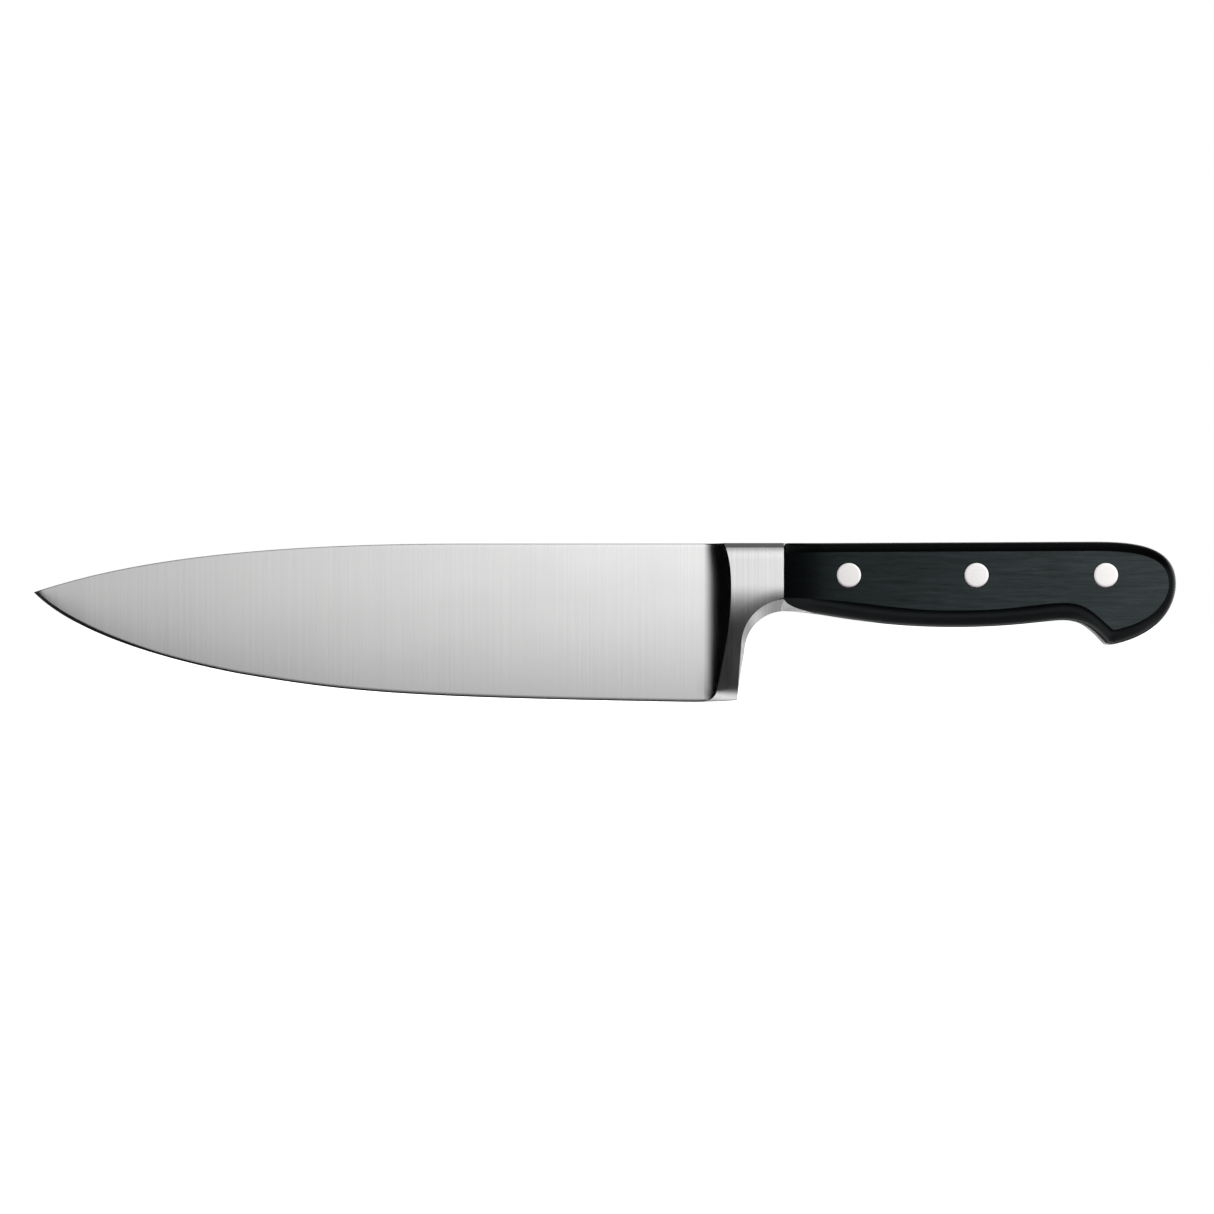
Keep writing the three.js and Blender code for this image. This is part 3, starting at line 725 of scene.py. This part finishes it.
class Nodes:
    """Short calls for building one material's node tree."""

    def __init__(self, name):
        self.material = bpy.data.materials.new(name)
        self.material.use_nodes = True
        self.tree = self.material.node_tree
        self.shader = self.tree.nodes["Principled BSDF"]
        self.place = self.add("ShaderNodeTexCoord").outputs["Object"]

    def add(self, kind, **settings):
        node = self.tree.nodes.new(kind)
        for name, value in settings.items():
            setattr(node, name, value)
        return node

    def feed(self, socket, value):
        if isinstance(value, bpy.types.NodeSocket):
            self.tree.links.new(value, socket)
        else:
            socket.default_value = value

    def noise(self, line_widths, detail=2.0, roughness=0.5, seed=0.0):
        """Noise whose features have these sizes along x, y and z, in millimetres."""
        mapping = self.add("ShaderNodeMapping")
        self.feed(mapping.inputs["Vector"], self.place)
        self.feed(mapping.inputs["Scale"], tuple(1 / (MM * width) for width in line_widths))
        self.feed(mapping.inputs["Location"], (seed, 2 * seed, 3 * seed))
        noise = self.add("ShaderNodeTexNoise")
        self.feed(noise.inputs["Vector"], mapping.outputs["Vector"])
        self.feed(noise.inputs["Scale"], 1.0)
        self.feed(noise.inputs["Detail"], detail)
        self.feed(noise.inputs["Roughness"], roughness)
        return noise.outputs["Fac"]

    def spread(self, value, from_low, from_high, to_low, to_high):
        """A value moved from one range to another, and held inside it."""
        node = self.add("ShaderNodeMapRange", clamp=True)
        for socket, number in zip(node.inputs[:5], (value, from_low, from_high, to_low, to_high)):
            self.feed(socket, number)
        return node.outputs["Result"]

    def math(self, operation, a, b=0.0):
        node = self.add("ShaderNodeMath", operation=operation)
        self.feed(node.inputs[0], a)
        self.feed(node.inputs[1], b)
        return node.outputs["Value"]

    def part(self, output, axis):
        """One axis of a texture coordinate: "Object" is a place, "Normal" a facing."""
        split = self.add("ShaderNodeSeparateXYZ")
        self.feed(split.inputs["Vector"], self.add("ShaderNodeTexCoord").outputs[output])
        return split.outputs[axis]

    def along(self, direction):
        """A constant direction, such as the way a surface was ground."""
        node = self.add("ShaderNodeCombineXYZ")
        for socket, number in zip(node.inputs, direction):
            self.feed(socket, number)
        return node.outputs["Vector"]

    def blend(self, factor, a, b):
        """A colour between two colours."""
        node = self.add("ShaderNodeMix", data_type="RGBA")
        colours = [socket for socket in node.inputs if socket.type == "RGBA"]
        self.feed(node.inputs["Factor"], factor)
        self.feed(colours[0], a if isinstance(a, bpy.types.NodeSocket) else (*a, 1))
        self.feed(colours[1], b if isinstance(b, bpy.types.NodeSocket) else (*b, 1))
        return next(socket for socket in node.outputs if socket.type == "RGBA")

    def bump(self, height, depth, strength=1.0, edge=0.1):
        """A bumped normal over eased edges; depth and edge are in millimetres."""
        eased = self.add("ShaderNodeBevel", samples=4)
        self.feed(eased.inputs["Radius"], edge * MM)
        node = self.add("ShaderNodeBump")
        self.feed(node.inputs["Strength"], strength)
        self.feed(node.inputs["Distance"], depth * MM)
        self.feed(node.inputs["Height"], height)
        self.feed(node.inputs["Normal"], eased.outputs["Normal"])
        return node.outputs["Normal"]

    def finish(self, **inputs):
        """Sets the shader's inputs, named with underscores for spaces."""
        for name, value in inputs.items():
            self.feed(self.shader.inputs[name.replace("_", " ")], value)
        return self.material


# ---------------------------------------------------------------- materials

# The ranges that most of a noise texture, and nearly all of it, lies in.
NOISE_CORE = (0.35, 0.65)
NOISE_SPAN = (0.3, 0.7)

# Painted shade: between the first and the second of these facings the steel's colour darkens to the
# colour below, deep in the fillet and on the sharpened bevel, in place of their dark reflections.
FILLET_SHADE_FACING = (0.3, 0.72)
BEVEL_SHADE_FACING = (0.12, 0.2)
PAINTED_SHADE_STEEL = (0.13, 0.13, 0.135)


def upright_satin(name, dark, light, line_width, edge, painted_shade):
    """Steel ground from spine to edge: fine upright lines and fainter broad bands. With the last argument
    at 1, shade is painted into its colour deep in the fillet and on the sharpened bevel, standing in for
    the dark reflections there; at 0 none is painted."""
    nodes = Nodes(name)
    fine = nodes.noise((line_width, 400, 70), detail=2, roughness=0.6)
    bands = nodes.noise((5 * line_width, 400, 60), detail=2, seed=3.7)
    clouds = nodes.noise((30, 60, 14), detail=1, seed=8.1)
    lines = nodes.math("ADD", nodes.math("MULTIPLY", fine, 0.85), nodes.math("MULTIPLY", bands, 0.15))
    ground = nodes.blend(nodes.spread(lines, *NOISE_CORE, 0, 1), dark, light)
    # Painted shade: a darker colour where the steel faces towards the tip in the fillet and where it
    # faces down on the sharpened bevel.
    forwards = nodes.math("MULTIPLY", nodes.part("Normal", "X"), -1)
    downwards = nodes.math("MULTIPLY", nodes.part("Normal", "Z"), -1)
    fillet_shade = nodes.spread(forwards, *FILLET_SHADE_FACING, 0, 1)
    bevel_shade = nodes.spread(downwards, *BEVEL_SHADE_FACING, 0, 1)
    painted_shade_mask = nodes.math("MULTIPLY", nodes.math("MAXIMUM", fillet_shade, bevel_shade), painted_shade)
    line_roughness = nodes.spread(fine, *NOISE_SPAN, 0.20, 0.24)
    cloud_roughness = nodes.spread(clouds, *NOISE_SPAN, 0, 0.03)
    return nodes.finish(
        Base_Color=nodes.blend(painted_shade_mask, ground, PAINTED_SHADE_STEEL),
        Metallic=1.0,
        Roughness=nodes.math("ADD", line_roughness, cloud_roughness),
        Anisotropic=0.5,
        Tangent=nodes.along((1, 0, 0)),
        Normal=nodes.bump(fine, 0.002, 0.4, edge),
    )


def blade_steel():
    """Bright satin with lines that hardly show and a keen edge."""
    dark, light = (0.822, 0.822, 0.822), (0.872, 0.872, 0.867)
    # Shade is painted into this steel's colour in the fillet and on the sharpened bevel.
    return upright_satin("blade_steel", dark, light, line_width=0.5, edge=0.03, painted_shade=1)


def bolster_steel():
    """Greyer satin with finer, plainer lines and slightly eased edges."""
    dark, light = (0.655, 0.65, 0.65), (0.755, 0.75, 0.75)
    return upright_satin("bolster_steel", dark, light, line_width=0.3, edge=0.08, painted_shade=0)


def ground_steel():
    """Plain bright-ground steel on the tang's edge, with lines along the handle."""
    nodes = Nodes("ground_steel")
    fine = nodes.noise((8, 0.12, 8), detail=3, roughness=0.6)
    colour = nodes.blend(nodes.spread(fine, *NOISE_CORE, 0, 1), (0.62, 0.62, 0.62), (0.78, 0.78, 0.77))
    return nodes.finish(
        Base_Color=colour,
        Metallic=1.0,
        Roughness=nodes.spread(fine, *NOISE_SPAN, 0.24, 0.36),
        Normal=nodes.bump(fine, 0.004, 0.4),
    )


def rivet_steel():
    """Polished rivet heads with faint lengthwise sanding lines."""
    nodes = Nodes("rivet_steel")
    fine = nodes.noise((14, 14, 0.16), detail=2, roughness=0.6)
    colour = nodes.blend(nodes.spread(fine, *NOISE_CORE, 0, 1), (0.70, 0.68, 0.675), (0.80, 0.78, 0.775))
    return nodes.finish(
        Base_Color=colour,
        Metallic=1.0,
        Roughness=nodes.spread(fine, *NOISE_SPAN, 0.2, 0.3),
        Normal=nodes.bump(fine, 0.004, 0.3, edge=0.06),
    )


# How strongly the polymer shines: polished, polished and facing down, and what sanding adds.
POLISHED_SPECULAR = 0.12
UNDERSIDE_SPECULAR = 0.2
SANDED_SPECULAR_AT_FRONT = 0.14
SANDED_SPECULAR_AT_BUTT = 0.38
# The facings to the side at which the flats begin and are complete.
FLAT_FACING = (0.975, 0.9995)
DEEP_BLACK = (0.0010, 0.0010, 0.0012)
SANDED_BLACK = (0.0085, 0.0150, 0.0155)


def black_polymer(sanded_from, paler_until):
    """Black moulded polymer. The flats are sanded lengthwise and paler towards the butt, and the rounded
    edges and the front are polished deep black. Sanding begins between the two x in sanded_from, and
    the flats are palest at the x paler_until."""
    nodes = Nodes("black_polymer")
    fine = nodes.noise((6, 3, 0.24), detail=4, roughness=0.8)
    streaks = nodes.noise((14, 6, 1.0), detail=2, seed=5.3)
    clouds = nodes.noise((16, 16, 7), detail=2, seed=1.9)
    lines = nodes.math("ADD", nodes.math("MULTIPLY", fine, 0.6), nodes.math("MULTIPLY", streaks, 0.4))
    x = nodes.part("Object", "X")
    facing = nodes.math("ABSOLUTE", nodes.part("Normal", "Y"))
    flat = nodes.spread(facing, *FLAT_FACING, 0, 1)
    near_front = nodes.spread(x, *sanded_from, 0, SANDED_SPECULAR_AT_FRONT)
    near_butt = nodes.spread(x, sanded_from[1], paler_until, 0, SANDED_SPECULAR_AT_BUTT)
    along = nodes.math("ADD", near_front, near_butt)
    scratched = nodes.math("MULTIPLY", along, nodes.spread(lines, 0.34, 0.66, 0.7, 1.3))
    upwards = nodes.part("Normal", "Z")
    polished = nodes.spread(upwards, -0.9, -0.15, UNDERSIDE_SPECULAR, POLISHED_SPECULAR)
    sanded = nodes.math("MULTIPLY", flat, nodes.spread(along, 0, 0.3, 0.15, 1))
    # The flats' colour is paler along their lines and grows steadily paler towards the butt.
    flat_paling = nodes.math("MULTIPLY", sanded, nodes.spread(lines, 0.36, 0.64, 0.1, 1))
    sanded_roughness = nodes.math("MULTIPLY", sanded, nodes.spread(clouds, *NOISE_SPAN, 0.1, 0.18))
    return nodes.finish(
        Base_Color=nodes.blend(flat_paling, DEEP_BLACK, SANDED_BLACK),
        Roughness=nodes.math("ADD", sanded_roughness, nodes.spread(lines, *NOISE_SPAN, 0.19, 0.24)),
        Specular_IOR_Level=nodes.math("MAXIMUM", nodes.math("MULTIPLY", flat, scratched), polished),
        Specular_Tint=(0.86, 1.0, 1.02, 1),
        Normal=nodes.bump(lines, 0.03, 0.7, edge=0.15),
    )


# ---------------------------------------------------------------- pieces


def install(piece, node, slot, *materials):
    """Makes a finished piece stand for a CAD node."""
    for material in materials:
        piece.data.materials.append(material)
    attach(piece, "root")
    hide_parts(node)


# How far behind the scales' front the sanding begins and is complete, in mm.
SANDING_REACHES = (6, 15)

bolster_finish, bright_steel = bolster_steel(), rivet_steel()
sanded_from = [TIP_X + (SCALE_FRONT + reach) * MM for reach in SANDING_REACHES]
polymer = black_polymer(sanded_from, paler_until=scale_high.x)
install(build_blade_and_bolster(), "blade_forging", "satin_steel", blade_steel(), bolster_finish)
install(build_tail(), "blade_forging", "satin_steel", bolster_finish)
install(build_tang(), "blade_forging", "satin_steel", ground_steel())
install(build_scale("left_scale", -1), "scale_left", "black_polymer", polymer)
install(build_scale("right_scale", 1), "scale_right", "black_polymer", polymer)
for spot in RIVETS:
    install(build_sleeve(spot), f"rivet_sleeve_{spot}", "rivet_steel", bright_steel)
    install(build_pin(spot), f"rivet_pin_{spot}", "rivet_steel", bright_steel)

# ---------------------------------------------------------------- floor and light

# In metres, except for the glow: the floor's emission is the first glow inside the pool and the
# second outside it.
FLOOR_SIZE = 12.0
FLOOR_DROP = 0.0002
FLOOR_POOL = (0.25, 0.9)
FLOOR_GLOW = (0.8, 1.05)


class WorldNodes(Nodes):
    """The same short calls for the world, where the direction of view takes the place's part."""

    def __init__(self, name):
        self.world = bpy.data.worlds.new(name)
        self.world.use_nodes = True
        self.tree = self.world.node_tree
        self.place = self.add("ShaderNodeTexCoord").outputs["Generated"]

    def curve(self, value, *stops):
        """A brightness that runs straight between (angle, brightness) stops, in degrees."""
        low, high = stops[0][0], stops[-1][0]
        peak = max(brightness for _, brightness in stops)
        ramp = self.add("ShaderNodeValToRGB")
        self.feed(ramp.inputs["Fac"], self.spread(value, low, high, 0, 1))
        elements = ramp.color_ramp.elements
        while len(elements) < len(stops):
            elements.new(0.5)
        for element, (angle, brightness) in zip(elements, stops):
            element.position = (angle - low) / (high - low)
            element.color = (brightness / peak,) * 3 + (1,)
        return self.math("MULTIPLY", ramp.outputs["Color"], peak)


def build_world():
    """White to the camera. In reflections it is dark but for a wide soft box before each side of the
    knife, low glows towards the tip, towards the butt and from beneath, and a high glow behind the
    knife towards the tip. Azimuth runs from the tip's side at -90 to the butt's at 90 degrees."""
    nodes = WorldNodes("soft_studio")
    parts = nodes.add("ShaderNodeSeparateXYZ")
    nodes.feed(parts.inputs["Vector"], nodes.place)
    x, y, z = parts.outputs
    azimuth = nodes.math("DEGREES", nodes.math("ARCTAN2", x, nodes.math("ABSOLUTE", y)))
    elevation = nodes.math("DEGREES", nodes.math("ARCSINE", z))

    box_across = nodes.curve(
        azimuth,
        (-90, 0), (-28, 0), (-22, 0.03), (-17, 0.15), (-13, 0.33), (-9, 0.54),
        (0, 1.05), (5, 1.3), (10, 2.0), (40, 1.4), (90, 0.5),
    )
    box_up = nodes.curve(
        elevation,
        (-90, 0), (-22, 0), (-14, 0.12), (-7, 0.5), (-3.5, 0.84),
        (0, 1), (16, 1), (32, 0.08), (60, 0.03), (90, 0.2),
    )
    soft_box = nodes.math("MULTIPLY", box_across, box_up)

    tip_across = nodes.curve(azimuth, (-90, 0.9), (-42, 0.9), (-22, 0), (90, 0))
    tip_up = nodes.curve(elevation, (-90, 0.2), (-50, 0.5), (-30, 0.8), (-19, 0), (90, 0))
    tip_glow = nodes.math("MULTIPLY", tip_across, tip_up)

    butt_across = nodes.curve(azimuth, (-90, 0), (22, 0), (44, 0.8), (90, 0.65))
    butt_up = nodes.curve(elevation, (-90, 0.2), (-50, 0.5), (-26, 0.75), (-8, 0.7), (-2, 0), (90, 0))
    butt_glow = nodes.math("MULTIPLY", butt_across, butt_up)

    under_across = nodes.curve(azimuth, (-90, 0.5), (-14, 1), (14, 1), (30, 0.4), (90, 0.4))
    under_up = nodes.curve(
        elevation,
        (-90, 0.4), (-62, 0.53), (-50, 1.3), (-44, 1.2), (-38, 0.35), (-34, 0.02), (-30, 0), (90, 0),
    )
    under_glow = nodes.math("MULTIPLY", under_across, under_up)

    high_up = nodes.curve(elevation, (-90, 0), (12, 0), (24, 0.7), (60, 0.6), (90, 0.1))
    behind = nodes.math("GREATER_THAN", y, 0)
    high_glow = nodes.math("MULTIPLY", nodes.math("MULTIPLY", tip_across, high_up), behind)

    brightness = soft_box
    for glow in (tip_glow, butt_glow, under_glow, high_glow):
        brightness = nodes.math("ADD", brightness, glow)

    shown, seen = nodes.add("ShaderNodeBackground"), nodes.tree.nodes["Background"]
    nodes.feed(seen.inputs["Strength"], brightness)
    nodes.feed(seen.inputs["Color"], (1, 1, 1, 1))
    nodes.feed(shown.inputs["Color"], (1, 1, 1, 1))
    choice = nodes.add("ShaderNodeMixShader")
    nodes.feed(choice.inputs["Fac"], nodes.add("ShaderNodeLightPath").outputs["Is Camera Ray"])
    nodes.feed(choice.inputs[1], seen.outputs["Background"])
    nodes.feed(choice.inputs[2], shown.outputs["Background"])
    nodes.feed(nodes.tree.nodes["World Output"].inputs["Surface"], choice.outputs["Shader"])
    bpy.context.scene.world = nodes.world


def build_floor():
    """A pale floor just below the cutting edge, glowing almost white and kept out of reflections."""
    half = FLOOR_SIZE / 2
    corners = [(-half, -half, 0), (half, -half, 0), (half, half, 0), (-half, half, 0)]
    mesh = bpy.data.meshes.new("floor")
    mesh.from_pydata(corners, [], [(0, 1, 2, 3)])
    floor = bpy.data.objects.new("floor", mesh)
    bpy.context.scene.collection.objects.link(floor)
    floor.location.z = cad_box[0].z - FLOOR_DROP
    floor.visible_glossy = False
    nodes = Nodes("pale_floor")
    grain = nodes.noise((1.5, 1.5, 1.5), detail=2)
    length = nodes.add("ShaderNodeVectorMath", operation="LENGTH")
    nodes.feed(length.inputs[0], nodes.place)
    glow = nodes.spread(length.outputs["Value"], *FLOOR_POOL, *FLOOR_GLOW)
    mesh.materials.append(nodes.finish(
        Base_Color=nodes.blend(grain, (0.86, 0.86, 0.86), (0.9, 0.9, 0.9)),
        Roughness=0.9,
        Specular_IOR_Level=0.0,
        Emission_Color=(1, 1, 1, 1),
        Emission_Strength=glow,
    ))


def add_light(name, position, size, power):
    """A square area light in metres, pointed at the middle of the knife."""
    data = bpy.data.lights.new(name, "AREA")
    data.size, data.energy = size, power
    light = bpy.data.objects.new(name, data)
    bpy.context.scene.collection.objects.link(light)
    light.location = position
    middle = (cad_box[0] + cad_box[1]) / 2
    light.rotation_euler = (middle - light.location).to_track_quat("-Z", "Y").to_euler()
    light.visible_glossy = False
    light.visible_camera = False


build_world()
build_floor()
add_light("overhead", position=(0.0, 0.0, 1.1), size=0.9, power=14)

# ---------------------------------------------------------------- camera

# The lens and sensor are in mm. The knife fills this share of the picture's width, and the picture's
# centre lies this far from the knife's, along x and z in metres.
LENS = 120.0
SENSOR = 36.0
KNIFE_SHARE = 0.9392
CENTRE_OFFSET = (0.0009, 0.0043)

low, high = cad_box
camera_data = bpy.data.cameras.new("camera")
camera_data.lens, camera_data.sensor_width = LENS, SENSOR
camera = bpy.data.objects.new("camera", camera_data)
bpy.context.scene.collection.objects.link(camera)
frame_width = (high.x - low.x) / KNIFE_SHARE
middle = (low + high) / 2
distance = frame_width * LENS / SENSOR
camera.location = (middle.x + CENTRE_OFFSET[0], middle.y - distance, middle.z + CENTRE_OFFSET[1])
camera.rotation_euler = (math.radians(90), 0, 0)
bpy.context.scene.camera = camera
bpy.context.scene.view_settings.view_transform = "Standard"
